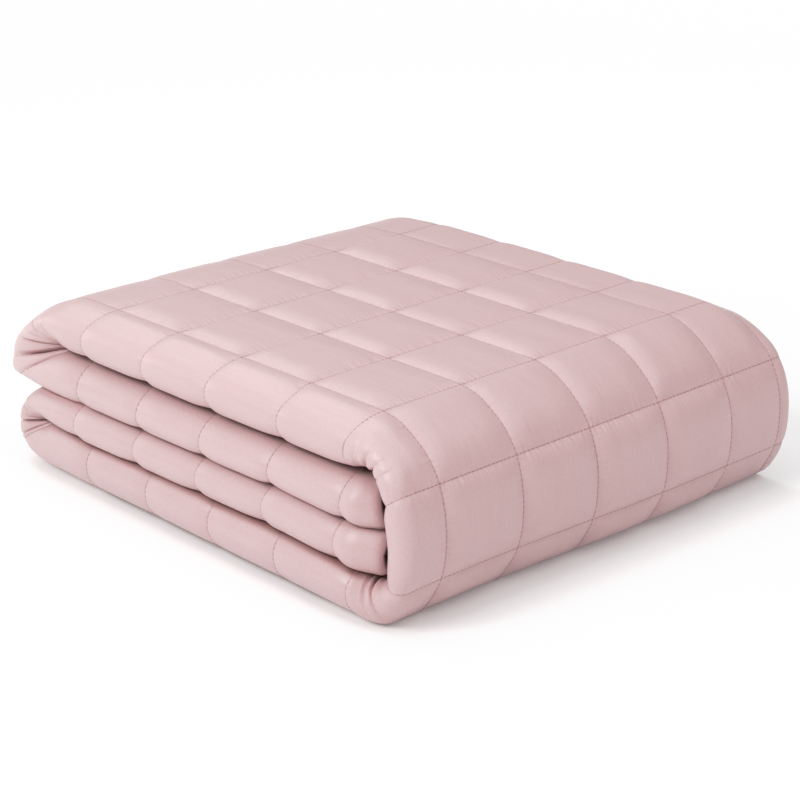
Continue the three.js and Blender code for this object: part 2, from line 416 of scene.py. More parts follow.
class Rows:
    """What a section needs to know at each place along the strip."""

    def __init__(self, v):
        self.v = v
        self.face, self.back, self.thick, self.farther = strip_guide(v)
        self.edge, self.face_reach, self.back_reach, self.out_at, self.back_round = eased(FOLD_SHAPE, v)
        self.slit = SLIT / self.thick
        self.ply = (1 - (PLIES - 1) * self.slit) / PLIES
        self.turn_radius = (2 * self.ply + self.slit) / 2
        radius = self.turn_radius * self.thick
        self.back_fold_y = OPEN_EDGE - BACK_FOLD_INSET - radius
        self.nested_y = self.edge + self.ply * self.thick + NESTED_GAP + radius
        self.bend = self.bend_curve()

    def bend_curve(self):
        """The rounded fold's outer side as Y and depth, with how far along it each point is, from 0 to 1."""
        angle = np.linspace(0, math.pi, BEND_POINTS)[None, :]
        on_face = angle < math.pi / 2
        square = np.where(on_face, FACE_ROUND, self.back_round)
        side, up = superellipse(angle, square)
        reach = np.where(on_face, self.face_reach, self.back_reach)
        y = self.edge + reach * (1 - side)
        room = np.where(on_face, self.out_at, 1 - self.out_at)
        depth = self.out_at - room * up
        y = np.concatenate([np.full_like(y[:, :1], SQUARE), y], 1)
        depth = np.concatenate([np.zeros_like(depth[:, :1]), depth], 1)
        step = np.hypot(np.diff(y, axis=1), np.diff(depth, axis=1) * self.thick)
        along = np.concatenate([np.zeros_like(y[:, :1]), np.cumsum(step, 1)], 1)
        return y, depth, along / along[:, -1:]

    def bend_at(self, s):
        """Y and depth of the rounded fold's outer side, for every row and every s."""
        y, depth, along = self.bend
        pick = [[np.interp(s, along[i], values[i]) for i in range(len(self.v))] for values in (y, depth)]
        return np.array(pick[0]), np.array(pick[1])


def across(rows, y, depth):
    """Y and depth spread over all rows and columns."""
    shape = (len(rows.v), max(np.shape(y)[-1], np.shape(depth)[-1]))
    return np.broadcast_to(y, shape), np.broadcast_to(depth, shape)


def path_part(rows, part, outer, s):
    """Y and depth of one side of a part of the cloth's path, for every row and every s from 0 to 1."""
    ply, slit, s = rows.ply, rows.slit, s[None, :]
    if part == OUTERMOST:
        return across(rows, hem_y(s), np.zeros_like(ply) if outer else ply)
    if part == FOLD:
        y, depth = rows.bend_at(s[0])
        if outer:
            return y, depth
        reach = np.where(depth < rows.out_at, SQUARE - rows.edge, rows.back_reach)
        inward = 1 - np.clip((y - rows.edge) / reach, 0, 1)
        return y + inward * ply * rows.thick, mix(ply, 1 - ply, depth)
    if part == SECOND:
        start = rows.edge + rows.back_reach
        return across(rows, mix(start, rows.back_fold_y, s), np.ones_like(ply) if outer else 1 - ply)
    if part == BACK_FOLD:
        radius = rows.turn_radius if outer else slit / 2
        y = rows.back_fold_y + radius * rows.thick * np.sin(math.pi * s)
        return y, 1 - rows.turn_radius + radius * np.cos(math.pi * s)
    if part == THIRD:
        depth = 2 * (ply + slit) if outer else 3 * ply + 2 * slit
        return across(rows, mix(rows.back_fold_y, rows.nested_y, s), depth)
    if part == NESTED_FOLD:
        radius = slit / 2 if outer else rows.turn_radius
        y = rows.nested_y - radius * rows.thick * np.sin(math.pi * s)
        return y, 2 * ply + 1.5 * slit + radius * np.cos(math.pi * s)
    second_hem = OPEN_EDGE - SECOND_HEM_INSET
    return across(rows, mix(rows.nested_y, second_hem, s), 2 * ply + slit if outer else ply + slit)


def hem_y(s):
    """The outermost ply from its hem, s = 0, to the seam beside the rounded fold, s = 1."""
    return mix(OPEN_EDGE, SQUARE, s)


def hem_thickness(part, s):
    """How thick the ply is near its two hems, as a share of its own thickness."""
    if part == OUTERMOST:
        from_hem = (OPEN_EDGE - SQUARE) * s
        border = OPEN_EDGE - BORDER_U * SQUARE
        return rim(from_hem) * mix(HEM_THICK, 1, smooth(border, WHOLE_FROM_HEM, from_hem))
    if part == INNERMOST:
        return rim((OPEN_EDGE - SQUARE) * (1 - s))
    return np.ones_like(s)


def rim(distance):
    """Thickness at a distance from a rounded edge, as a share of the whole."""
    return np.sqrt(np.clip(1 - (1 - np.clip(distance / HEM_RIM, 0, 1)) ** 2, 0, 1))


# Lattice: rows along the strip and columns round the section, closer together beside the seams

HALF_SQUARE = 0.5 * (np.arange(STEPS_PER_HALF + 1) / STEPS_PER_HALF) ** NEAR_SEAM
ONE_SQUARE = np.concatenate([HALF_SQUARE, 1 - HALF_SQUARE[-2::-1]])
RIM_U = np.array([5.970, 5.967, 5.955, 5.935, 5.90, 5.865, 5.83])
FLAT_STEPS, FOLD_STEPS, NESTED_STEPS = 8, 8, 4
TO_HEM = np.array([0.15, 0.3, 0.45, 0.6, 0.75, 0.9, 0.96, 0.985, 0.993, 0.998, 1.0])


def face_u():
    """Places of the outermost ply's columns, in squares, from the hem to the seam beside the fold."""
    border = LAST_SEAM_U + (BORDER_U - LAST_SEAM_U) * ONE_SQUARE[::-1]
    squares = [n + ONE_SQUARE[-2::-1] for n in (4, 3, 2, 1)]
    return np.concatenate([RIM_U, border, *squares])


def columns():
    """Each column's part, side and place: along the outer side and back along the inner one."""
    to_s = lambda u: (HEM_U - u) / (HEM_U - 1)
    flat = lambda n: np.linspace(0, 1, n + 1)[1:]
    outer = [to_s(face_u()), ONE_SQUARE[1:], flat(FLAT_STEPS), flat(FOLD_STEPS), flat(FLAT_STEPS)]
    outer += [flat(NESTED_STEPS), TO_HEM]
    inner = [to_s(RIM_U[1::2]), flat(FLAT_STEPS), flat(FLAT_STEPS), flat(NESTED_STEPS), flat(FLAT_STEPS)]
    inner += [flat(FOLD_STEPS), TO_HEM[:-1]]
    inner[0] = np.concatenate([inner[0], mix(inner[0][-1], 1, flat(FLAT_STEPS))])
    table = [(part, OUTER, s) for part, values in enumerate(outer) for s in values]
    table += [(part, INNER, s) for part, values in reversed(list(enumerate(inner))) for s in values[::-1]]
    return np.array(table)


def row_places():
    """Squares passed at each row, and which rows are more than a help for the creases."""
    v = np.unique(np.concatenate([n + ONE_SQUARE for n in range(int(STRIP_ENDS[1]) + 1)]).round(6))
    v = v[(v >= STRIP_ENDS[0]) & (v <= STRIP_ENDS[1])]
    middles = np.array([(start_v + end_v) / 2 for name, start_v, end_v, *rest in CREASES])
    extra = np.unique((middles[:, None] + np.array(CREASE_ROWS)).ravel().round(6))
    extra = extra[np.append(np.diff(extra) > CREASE_ROW_GAP, True)]
    clear = np.abs(extra[:, None] - v).min(axis=1) > CREASE_ROW_GAP
    both = np.sort(np.concatenate([v, extra[clear]]))
    return both, np.isin(both, v)


def lattice():
    """Rows, columns, and the Y and depth of every place of the cloth."""
    v, main = row_places()
    rows, table = Rows(v), columns()
    rows.main = main
    y, depth = np.zeros((2, len(v), len(table)))
    end_distance = np.minimum(v - STRIP_ENDS[0], STRIP_ENDS[1] - v)[:, None] * SQUARE
    end_thick = np.maximum(rim(end_distance), THINNEST_END)
    for part in PARTS:
        for side in (OUTER, INNER):
            at = (table[:, 0] == part) & (table[:, 1] == side)
            s = table[at, 2]
            sides = [np.stack(path_part(rows, part, outer, s)) for outer in (True, False)]
            thickness = hem_thickness(part, s)[None, :] * end_thick
            middle, half = (sides[0] + sides[1]) / 2, (sides[0] - sides[1]) / 2
            y[:, at], depth[:, at] = middle + side * half * thickness
    return rows, table, y, depth


def cloth_u(table):
    """Squares across the cloth, by column, where it shows: 5.97 at the hem, 0 under the rounded fold."""
    part, side, s = table.T
    return np.where(part == OUTERMOST, mix(HEM_U, 1, s), np.where(part == FOLD, 1 - s, -0.5))


def puff(x):
    """Height over a square from seam to seam, as a share: steepest at its first seam and level midway."""
    start, end = PUFF_SHOULDERS
    from_seam = np.clip(np.minimum(x / start, (1 - x) / end), 0, 1)
    return 1 - (1 - from_seam) ** PUFF_ROUND


def within(stretches, v):
    """1 inside any of the stretches and 0 outside. Each has where it begins, is whole, fades and ends."""
    shares = [smooth(begin, whole, v) * (1 - smooth(fade, end, v)) for begin, whole, fade, end in stretches]
    return np.maximum(*shares)


def seam_pattern(v, knots):
    """Puff across the strip's own seams and, where there are any, the creases between them."""
    i = np.clip(np.searchsorted(knots, v, "right") - 1, 0, len(knots) - 2)
    knots = np.array(knots)
    return puff((v - knots[i]) / (knots[i + 1] - knots[i])) * np.minimum(1, (knots[i + 1] - knots[i])) ** 0.5


def puffs(rows, table, y, z):
    """How far each place of the lattice rises from the seams' level."""
    rng = np.random.default_rng(PUFF_SEED)
    u, v = cloth_u(table)[None, :], rows.v[:, None]
    variety = 1 + PUFF_VARIETY * rng.uniform(-1, 1, PUFF_DRAWS)
    own = variety[np.floor(v).astype(int), np.floor(u).astype(int)]
    part, side, s = (column[None, :] for column in table.T)
    border = (u - LAST_SEAM_U) / (BORDER_U - LAST_SEAM_U)
    hem = (u - BORDER_U) / (HEM_U - BORDER_U)
    over_u = np.where(u > LAST_SEAM_U, PUFF_BORDER * puff(np.clip(border, 0, 1)), puff(u % 1))
    over_u = np.where(u > BORDER_U, PUFF_HEM * puff(np.clip(hem, 0, 1)), over_u)
    free = within(FACE_FREE, v)
    share = mix(1, PUFF_TURN_SHARE, within(ON_TURN, v))
    on_face = PUFF_FACE * free * share
    out_of_layer = 1 - smooth(*PRESSED["y"], y)
    face_part = 1 - smooth(*FREE_FACE_ENDS, s)
    fold_height = PUFF_FOLD * mix(share, 1, smooth(*TURN_SHARE_ENDS, s))
    on_fold = mix(PUFF_FACE * share, fold_height, smooth(*FACE_TO_FOLD, s))
    on_fold = on_fold * np.maximum(free * face_part, out_of_layer)
    height = np.where(part == OUTERMOST, on_face, np.where(part == FOLD, on_fold, 0)) * (side == OUTER)
    creased = np.where(part == FOLD, smooth(*CREASED_FROM, s), 0)
    over_v = mix(seam_pattern(v, SEAMS), seam_pattern(v, CREASED_SEAMS), creased)
    return height * own * over_u * over_v * smooth(*PRESSED["z"], z)


def surface(rows, table, y, depth):
    """Places of the whole lattice in space, and the way out of the cloth at each."""
    face = np.repeat(rows.face[:, None, :], len(table), axis=1)
    face[:, :, 0] += rows.farther * smooth(*WRAP_FAR, y)
    flat = mix(face, rows.back[:, None, :], depth[:, :, None])
    place = np.stack([flat[:, :, 0], y, flat[:, :, 1]], 2)
    place[:, :, ::2] += wander(rows, table)
    out = way_out(place)
    place = place + out * (puffs(rows, table, y, place[:, :, 2]) - creases(rows, table))[:, :, None]
    place[:, :, 2] += lift(*np.moveaxis(place, 2, 0))
    place[:, :, 2] = np.maximum(place[:, :, 2] - sink(*np.moveaxis(place, 2, 0)), 0)
    place[:, :, :2] -= np.array(PILE_MIDDLE)
    return place, way_out(place)


def sink(x, y, z):
    """The first layer gets thinner towards its open edge and hangs a little at its far left corner."""
    top, bottom = LAYERS["first"]["top"], LAYERS["first"]["bottom"]
    in_first = np.clip((z - bottom) / (top - bottom), 0, 1)
    corner = smooth(*CORNER_SINK["y"], y) * (1 - smooth(*CORNER_SINK["x"][::-1], x)) * CORNER_SINK["depth"]
    return in_first * (OPEN_SINK["depth"] * smooth(OPEN_SINK["start"], OPEN_EDGE, y) + corner)


def lift(x, y, z):
    """How much higher the cloth lies at the rounded folds, where the gaps aren't level with those behind."""
    table = np.array(GAP_LIFTS)
    tops = [0, *(LAYERS[name]["bottom"] for name in ("third", "second", "first")), LAYERS["first"]["top"]]
    gaps = [np.interp(x, table[:, 0], table[:, i]) for i in (3, 2, 1)]
    gaps = [0, *gaps, 0]
    up = 0
    for below, above, lift_below, lift_above in zip(tops, tops[1:], gaps, gaps[1:]):
        t = (z - below) / (above - below)
        up = up + np.where((t > 0) & (t <= 1), mix(lift_below, lift_above, t), 0)
    return up * (1 - smooth(*GAP_LIFTS_END_Y, y))


def wander(rows, table):
    """Shift in X and Z of the cloth on the rounded fold, where the seams don't run straight on."""
    part, side, s = (column[None, :] for column in table.T)
    behind = np.where(part == SECOND, 1 - smooth(0, WANDER_ENDS["back"], s), 0)
    on_fold = np.where(part == FOLD, smooth(0, WANDER_ENDS["fold"], s), behind)
    return np.moveaxis(eased(SEAM_WANDER, rows.v), 0, 2) * on_fold[:, :, None]


def creases(rows, table):
    """Depth of the creases that run from the rounded fold to the pinched corners."""
    part, side, s = (column[None, :] for column in table.T)
    v = rows.v[:, None]
    depth = np.zeros((len(rows.v), len(table)))
    for name, start_v, end_v, start_s, deepest, width in CREASES:
        middle = mix(start_v, end_v, s)
        valley = np.exp(-((np.abs(v - middle) / width) ** CREASE_SHARP))
        ends = smooth(start_s, start_s + CREASE_GROWS, s) * (1 - smooth(CREASE_ENDS, 1, s))
        depth += deepest * ends * valley
    return np.where((part == FOLD) & (side == OUTER), depth, 0)


def painted_shade_share(rows, table, y, depth):
    """How much painted shade each place gets in a gap or a crease: 1 where two layers touch or in a deep
    crease.
    """
    on_face = depth < rows.out_at
    covered = np.where(on_face, 1 - within(FACE_IN_SIGHT, rows.v[:, None]), 1)
    from_nose = np.abs(depth - rows.out_at) / np.where(on_face, rows.out_at, 1 - rows.out_at)
    beside_layer = from_nose * covered * (1 - smooth(SQUARE, PAINTED_SHADE_ENDS, y))
    return np.minimum(np.maximum(beside_layer, creases(rows, table) / CREASE_FULL_SHADE_DEPTH), 1)


def way_out(place):
    """Directions out of the cloth, at right angles to its rows and columns."""
    along = np.gradient(place, axis=0)
    round_it = np.roll(place, -1, axis=1) - np.roll(place, 1, axis=1)
    out = np.cross(round_it, along)
    return out / np.maximum(np.linalg.norm(out, axis=2, keepdims=True), TINY)


# Mesh: small faces where the cloth shows, larger ones inside the pile


def cuts(start, end, step=1, allowed=None):
    """Every so many of the allowed places from start to end, with both ends."""
    places = range(start, end) if allowed is None else [i for i in range(start, end) if allowed[i]]
    return sorted({start, *places[::step], end})


def blocks(rows, table):
    """Rectangles of the lattice that each become one face: lists of row cuts and column cuts."""
    v = rows.v
    borders = [int(np.searchsorted(v, at - NEARLY)) for stretch in SHOWN_STRETCHES for at in stretch]
    ends = [0, *borders, len(v) - 1]
    zones = [(start, end, i % 2 == 1) for i, (start, end) in enumerate(zip(ends, ends[1:]))]
    part, side = table[:, 0], table[:, 1]
    face_end = int(np.flatnonzero((part == OUTERMOST) & (side == OUTER))[-1])
    fold_end = int(np.flatnonzero((part == FOLD) & (side == OUTER))[-1])
    rim_end = len(RIM_U)
    count = len(table)
    made = []
    for start, end, shows in zones:
        step = 1 if shows else HIDDEN_STEP
        made.append((cuts(start, end, step, rows.main), cuts(rim_end, face_end, step)))
        made.append((cuts(start, end, RIM_STEP, rows.main), cuts(0, rim_end)))
    made.append((cuts(0, len(v) - 1), cuts(face_end, fold_end)))
    made.append((cuts(0, len(v) - 1, INNER_STEP, rows.main), cuts(fold_end, count)))
    return made


def faces_of(rows, table):
    """Faces by lattice index, with every used place on a face's edge in it, so that the cloth is closed."""
    height, count = len(rows.v), len(table)
    used = np.zeros((height, count), bool)
    made = blocks(rows, table)
    for row_edges, column_edges in made:
        used[np.ix_(row_edges, np.array(column_edges) % count)] = True
    index = lambda r, c: r * count + c % count
    faces = []
    for row_edges, column_edges in made:
        for r0, r1 in zip(row_edges, row_edges[1:]):
            for c0, c1 in zip(column_edges, column_edges[1:]):
                if r1 - r0 == 1 and c1 - c0 == 1:
                    faces.append((index(r0, c0), index(r0, c1), index(r1, c1), index(r1, c0)))
                    continue
                ring = [(r0, c) for c in range(c0, c1)] + [(r, c1) for r in range(r0, r1)]
                ring += [(r1, c) for c in range(c1, c0, -1)] + [(r, c0) for r in range(r1, r0, -1)]
                faces.append(tuple(index(r, c) for r, c in ring if used[r, c % count]))
    for row, flip in ((0, True), (height - 1, False)):
        faces += end_faces(table, used[row], row * count, flip)
    return faces, used


def end_faces(table, used, offset, flip):
    """Triangles between the two sides of the cloth at a free end of the strip."""
    order = table[:, 0] + table[:, 2]
    outer = list(np.flatnonzero(used & (table[:, 1] == OUTER)))
    inner = [0, *np.flatnonzero(used & (table[:, 1] == INNER))[::-1], outer[-1]]
    i, j, made = 0, 0, []
    while i + 1 < len(outer) or j + 1 < len(inner):
        take_outer = j + 1 == len(inner) or (
            i + 1 < len(outer) and order[outer[i + 1]] <= order[inner[j + 1]]
        )
        if take_outer:
            triangle = (outer[i], outer[i + 1], inner[j])
            i += 1
        else:
            triangle = (outer[i], inner[j + 1], inner[j])
            j += 1
        if len(set(triangle)) == 3:
            made.append(tuple(offset + c for c in (triangle[::-1] if flip else triangle)))
    return made


def new_piece(name, vertices, faces):
    """A piece of the scene, shaded smooth."""
    mesh = bpy.data.meshes.new(name)
    mesh.from_pydata(vertices, [], faces)
    mesh.polygons.foreach_set("use_smooth", np.ones(len(mesh.polygons), bool))
    piece = bpy.data.objects.new(name, mesh)
    bpy.context.collection.objects.link(piece)
    return piece


def make_cloth():
    """The cloth in one piece, with an attribute of each place on the flat cloth and of its painted shade in
    gaps and creases.
    """
    rows, table, y, depth = lattice()
    place, out = surface(rows, table, y, depth)
    faces, used = faces_of(rows, table)
    keep = used.ravel()
    new_index = np.cumsum(keep) - 1
    faces = [tuple(int(new_index[i]) for i in face) for face in faces]
    cloth = new_piece("quilted_cloth", place.reshape(-1, 3)[keep].tolist(), faces)
    v = np.broadcast_to(rows.v[:, None], used.shape)
    u = np.broadcast_to(cloth_u(table)[None, :], used.shape)
    # Its third part is the share of painted shade in the gaps and creases
    place_and_painted_shade = np.stack([v, u, painted_shade_share(rows, table, y, depth)], 2).reshape(-1, 3)[keep] * SQUARE
    attribute = cloth.data.attributes.new("place_and_painted_shade", "FLOAT_VECTOR", "POINT")
    attribute.data.foreach_set("vector", place_and_painted_shade.astype(np.float32).ravel())
    return cloth, rows, table, place, out


# Stitches: short rounded threads along the seams that show

STITCH = {"pitch": 0.0052, "length": 0.0036, "width": 0.0010, "height": 0.0006, "above": 0.0001}
STITCH_RINGS = ((-1.0, 0.0), (-0.7, 0.8), (0.0, 1.0), (0.7, 0.8), (1.0, 0.0))

# Where they lie: the squares passed, the shares of the fold, the seams across and those along the strip
STITCHED_ROWS = ((5.2, 14.9), (19.4, 21.6))
STITCHED_FOLD = (0.15, 0.85)
STITCHED_SEAMS = range(1, 27)
STITCHED_LINES = (1, 2, 3, 4, LAST_SEAM_U, BORDER_U)

# How far from the hem they stop, in squares, and how free the face has to be to have them
SHORT_OF_HEM = 0.02
LEAST_FREE = 0.05


def along_line(points, outs):
    """Middle, way along and way out of each stitch on a seam."""
    step = np.linalg.norm(np.diff(points, axis=0), axis=1)
    along = np.concatenate([[0], np.cumsum(step)])
    count = int(along[-1] / STITCH["pitch"])
    middle = (np.arange(count) + 0.5) * along[-1] / max(count, 1)
    half = STITCH["length"] / 2
    at = lambda where, values: np.stack([np.interp(where, along, values[:, i]) for i in range(3)], 1)
    ends = at(middle - half, points), at(middle + half, points)
    out = at(middle, outs)
    out /= np.linalg.norm(out, axis=1, keepdims=True)
    return (ends[0] + ends[1]) / 2 + out * STITCH["above"], (ends[1] - ends[0]) / 2, out


def stitch_mesh(middle, half, out):
    """All stitches as vertices and faces: four-sided rings with a point at each end."""
    side = np.cross(half, out)
    side /= np.maximum(np.linalg.norm(side, axis=1, keepdims=True), TINY)
    vertices = []
    for t, size in STITCH_RINGS:
        centre = middle + half * t
        if size == 0:
            vertices.append(centre[:, None, :])
            continue
        across_it, up = side * STITCH["width"] / 2 * size, out * STITCH["height"] / 2 * size
        vertices.append(np.stack([centre + across_it, centre + up, centre - across_it, centre - up], 1))
    vertices = np.concatenate(vertices, 1)
    faces = []
    for ring in (1, 5):
        faces += [(ring + i, ring + (i + 1) % 4, ring + 4 + (i + 1) % 4, ring + 4 + i) for i in range(4)]
    faces += [(0, 1 + (i + 1) % 4, 1 + i) for i in range(4)]
    faces += [(13, 9 + i, 9 + (i + 1) % 4) for i in range(4)]
    per = vertices.shape[1]
    all_faces = [tuple(n * per + i for i in face) for n in range(len(vertices)) for face in faces]
    return vertices.reshape(-1, 3).tolist(), all_faces


def make_stitches(rows, table, place, out):
    """Stitches along the cloth and the border, and across it where the seam shows."""
    v, u = rows.v, cloth_u(table)
    part, side, s = table.T
    shows = (side == OUTER) & (part <= FOLD)
    lines = []
    open_rows = [(v >= start) & (v <= end) for start, end in STITCHED_ROWS]
    fold_start, fold_end = STITCHED_FOLD
    fold = (part == FOLD) & (side == OUTER) & (s > fold_start) & (s < fold_end)
    whole = (u < HEM_U - SHORT_OF_HEM) & shows & ((part == OUTERMOST) | (s < fold_end))
    for line_u in STITCHED_LINES:
        column = int(np.flatnonzero(shows & (np.abs(u - line_u) < NEARLY))[0])
        lines += [(place[rows_in, column], out[rows_in, column]) for rows_in in open_rows]
    for line_v in STITCHED_SEAMS:
        row = int(np.argmin(np.abs(v - line_v)))
        stitched = whole if within(FACE_FREE, line_v) > LEAST_FREE else fold
        lines.append((place[row, stitched], out[row, stitched]))
    parts = [along_line(points, outs) for points, outs in lines]
    return new_piece("quilting_stitches", *stitch_mesh(*(np.concatenate(p) for p in zip(*parts))))


# Camera: fitted to the seams' crossings on the top

CAMERA = {"azimuth": 46.43, "elevation": 20.77, "distance": 2.0264, "target": (0.4903, 0.1297, 0.188)}
FOCAL_PIXELS = 2201
PICTURE_WIDTH = 800
SENSOR = 36
SEES_TO = 100


def make_camera():
    """Camera at the photo's angle, placed from the fitted values."""
    a, e = math.radians(CAMERA["azimuth"]), math.radians(CAMERA["elevation"])
    back = np.array([math.sin(a) * math.cos(e), -math.cos(a) * math.cos(e), math.sin(e)])
    right = np.array([math.cos(a), math.sin(a), 0])
    up = np.cross(back, right)
    at = np.array(CAMERA["target"]) - np.array([*PILE_MIDDLE, 0]) + back * CAMERA["distance"]
    data = bpy.data.cameras.new("camera")
    data.sensor_width = SENSOR
    data.lens = FOCAL_PIXELS / PICTURE_WIDTH * SENSOR
    data.clip_end = SEES_TO
    camera = bpy.data.objects.new("camera", data)
    matrix = np.eye(4)
    matrix[:3, 0], matrix[:3, 1], matrix[:3, 2], matrix[:3, 3] = right, up, back, at
    camera.matrix_world = Matrix(matrix.tolist())
    bpy.context.collection.objects.link(camera)
    bpy.context.scene.camera = camera


# Shader maths: a socket that takes part in Python expressions


class Socket:
    def __init__(self, material, socket):
        self.material, self.socket = material, socket

    def math(self, operation, *others):
        return self.material.node("ShaderNodeMath", {"operation": operation}, [self, *others])

    def __add__(self, other):
        return self.math("ADD", other)

    def __mul__(self, other):
        return self.math("MULTIPLY", other)

    def __sub__(self, other):
        return self.math("SUBTRACT", other)

    def __rsub__(self, other):
        return self.material.node("ShaderNodeMath", {"operation": "SUBTRACT"}, [other, self])

    def __truediv__(self, other):
        return self.math("DIVIDE", other)

    __radd__, __rmul__ = __add__, __mul__


class Material:
    def __init__(self, name):
        self.data = bpy.data.materials.new(name)
        self.data.use_nodes = True
        self.tree = self.data.node_tree
        self.tree.nodes.clear()

    def node(self, kind, settings=None, inputs=(), output=0):
        """Adds a node. Inputs are a list by place or a dict by name, of values or Sockets."""
        node = self.tree.nodes.new(kind)
        for key, value in (settings or {}).items():
            setattr(node, key, value)
        pairs = inputs.items() if isinstance(inputs, dict) else enumerate(inputs)
        for key, value in pairs:
            if isinstance(value, Socket):
                self.tree.links.new(value.socket, node.inputs[key])
            elif value is not None:
                node.inputs[key].default_value = value
        self.last = node
        return Socket(self, node.outputs[output]) if node.outputs else node

    def last_output(self, output):
        """Another output of the node that was added last."""
        return Socket(self, self.last.outputs[output])

    def noise(self, place, stretch, detail=0.0):
        """Noise from 0 to 1 whose grain is stretched by so many grains a metre each way."""
        stretched = self.node("ShaderNodeVectorMath", {"operation": "MULTIPLY"}, [place, stretch])
        return self.node("ShaderNodeTexNoise", inputs={"Vector": stretched, "Scale": 1.0, "Detail": detail})

    def near(self, distance, reach):
        """1 at no distance, falling smoothly to 0 at the reach."""
        settings = {"interpolation_type": "SMOOTHSTEP"}
        return self.node("ShaderNodeMapRange", settings, {"Value": distance, 2: reach, 3: 1.0, 4: 0.0})

    def blend(self, factor, a, b):
        """Mix of two colours."""
        return self.node("ShaderNodeMix", {"data_type": "RGBA"}, {0: factor, 6: a, 7: b}, output=2)

    def finish(self, shader):
        self.node("ShaderNodeOutputMaterial", inputs={"Surface": shader})
        return self.data


# Cotton and thread
COTTON = (0.575, 0.400, 0.404, 1)
COTTON_DEEP = (0.515, 0.344, 0.348, 1)
# Painted shade in the grooves beside the seams
COTTON_PAINTED_SEAM_SHADE = (0.42, 0.245, 0.25, 1)
# Painted shade in the gaps between the layers and in the creases
COTTON_PAINTED_SHADE = (0.20, 0.085, 0.075, 1)
THREAD = (0.42, 0.27, 0.275, 1)
THREAD_DEEP = (0.32, 0.19, 0.195, 1)

# Painted shade, where the cotton is darker: beside its seams, and from one share of the way into a gap to
# another
PAINTED_SEAM_SHADE = {"reach": 0.0016, "share": 0.45}
PAINTED_SHADE = {"from": 0.68, "to": 0.97, "share": 0.9}

# What shapes and shades its surface, with the heights and the reach in metres
PUCKER = {"reach": 0.015, "height": 0.00085, "per_metre": 240, "long": 26}
GRAIN = {"per_metre": 420, "detail": 3.0, "shade": 1.4}
SLACK = {"height": 0.00010, "per_metre": 420, "long": 16, "shade": 0.3}
UNEVEN = {"height": 0.0012, "per_metre": 34, "long": 14, "detail": 2.0, "shade": 0.3}
WEAVE = {"height": 0.00002, "per_metre": 1600, "detail": 1.0}
EVEN_SHADE = 0.2
COTTON_FINISH = {"Roughness": 0.43, "Sheen Weight": 0.1, "Sheen Roughness": 0.5, "Specular IOR Level": 0.6}
THREAD_GRAIN = {"per_metre": 900, "detail": 1.0}
THREAD_ROUGHNESS = 0.7


def cotton_material():
    """Smooth cotton sateen with painted shade in its seams, gaps and creases, puckers beside the seams and
    slack threads between them.
    """
    m = Material("dusty_pink_cotton")
    place = m.node("ShaderNodeAttribute", {"attribute_name": "place_and_painted_shade"}, output="Vector")
    v, u = m.node("ShaderNodeSeparateXYZ", inputs=[place]), m.last_output(1)
    # Share of painted shade in the gaps and creases
    gap = m.last_output(2) / SQUARE
    plain_u = m.node("ShaderNodeMath", {"operation": "MINIMUM"}, [u, (LAST_SEAM_U + 0.5) * SQUARE])
    to_u = m.node("ShaderNodeMath", {"operation": "PINGPONG"}, [plain_u, SQUARE / 2])
    to_border = m.node("ShaderNodeMath", {"operation": "ABSOLUTE"}, [u - BORDER_U * SQUARE])
    to_u = m.node("ShaderNodeMath", {"operation": "MINIMUM"}, [to_u, to_border])
    to_v = m.node("ShaderNodeMath", {"operation": "PINGPONG"}, [v, SQUARE / 2])
    to_seam = m.node("ShaderNodeMath", {"operation": "MINIMUM"}, [to_u, to_v])
    long, fine = PUCKER["long"], PUCKER["per_metre"]
    along_v = m.noise(place, (fine, long, 1)) * m.near(to_u, PUCKER["reach"])
    along_u = m.noise(place, (long, fine, 1)) * m.near(to_v, PUCKER["reach"])
    slack = m.noise(place, (SLACK["long"], SLACK["per_metre"], 1))
    uneven = m.noise(place, (UNEVEN["long"], UNEVEN["per_metre"], 1), UNEVEN["detail"])
    weave = m.noise(place, (WEAVE["per_metre"], WEAVE["per_metre"], 1), WEAVE["detail"])
    grain = m.noise(place, (GRAIN["per_metre"], GRAIN["per_metre"], 1), GRAIN["detail"])
    height = (along_v + along_u) * PUCKER["height"] + slack * SLACK["height"]
    height = height + uneven * UNEVEN["height"] + weave * WEAVE["height"]
    bump = m.node("ShaderNodeBump", inputs={"Strength": 1.0, "Distance": 1.0, "Height": height})
    shade = uneven * UNEVEN["shade"] + slack * SLACK["shade"] + (grain - 0.5) * GRAIN["shade"] + EVEN_SHADE
    cloth = m.blend(shade, COTTON_DEEP, COTTON)
    # Painted shade: darker in the gaps and creases, then in the grooves beside the seams
    painted_shade = 1 - m.near(gap - PAINTED_SHADE["from"], PAINTED_SHADE["to"] - PAINTED_SHADE["from"])
    cloth = m.blend(painted_shade * PAINTED_SHADE["share"], cloth, COTTON_PAINTED_SHADE)
    # Painted shade in the grooves beside the seams
    colour = m.blend(m.near(to_seam, PAINTED_SEAM_SHADE["reach"]) * PAINTED_SEAM_SHADE["share"], cloth, COTTON_PAINTED_SEAM_SHADE)
    inputs = {"Base Color": colour, "Normal": bump, **COTTON_FINISH}
    return m.finish(m.node("ShaderNodeBsdfPrincipled", inputs=inputs))


def thread_material():
    """Thread a little deeper than the cloth, uneven from stitch to stitch."""
    m = Material("dusty_pink_thread")
    place = m.node("ShaderNodeNewGeometry", output="Position")
    grain = m.noise(place, (THREAD_GRAIN["per_metre"],) * 3, THREAD_GRAIN["detail"])
    inputs = {"Base Color": m.blend(grain, THREAD_DEEP, THREAD), "Roughness": THREAD_ROUGHNESS}
    return m.finish(m.node("ShaderNodeBsdfPrincipled", inputs=inputs))


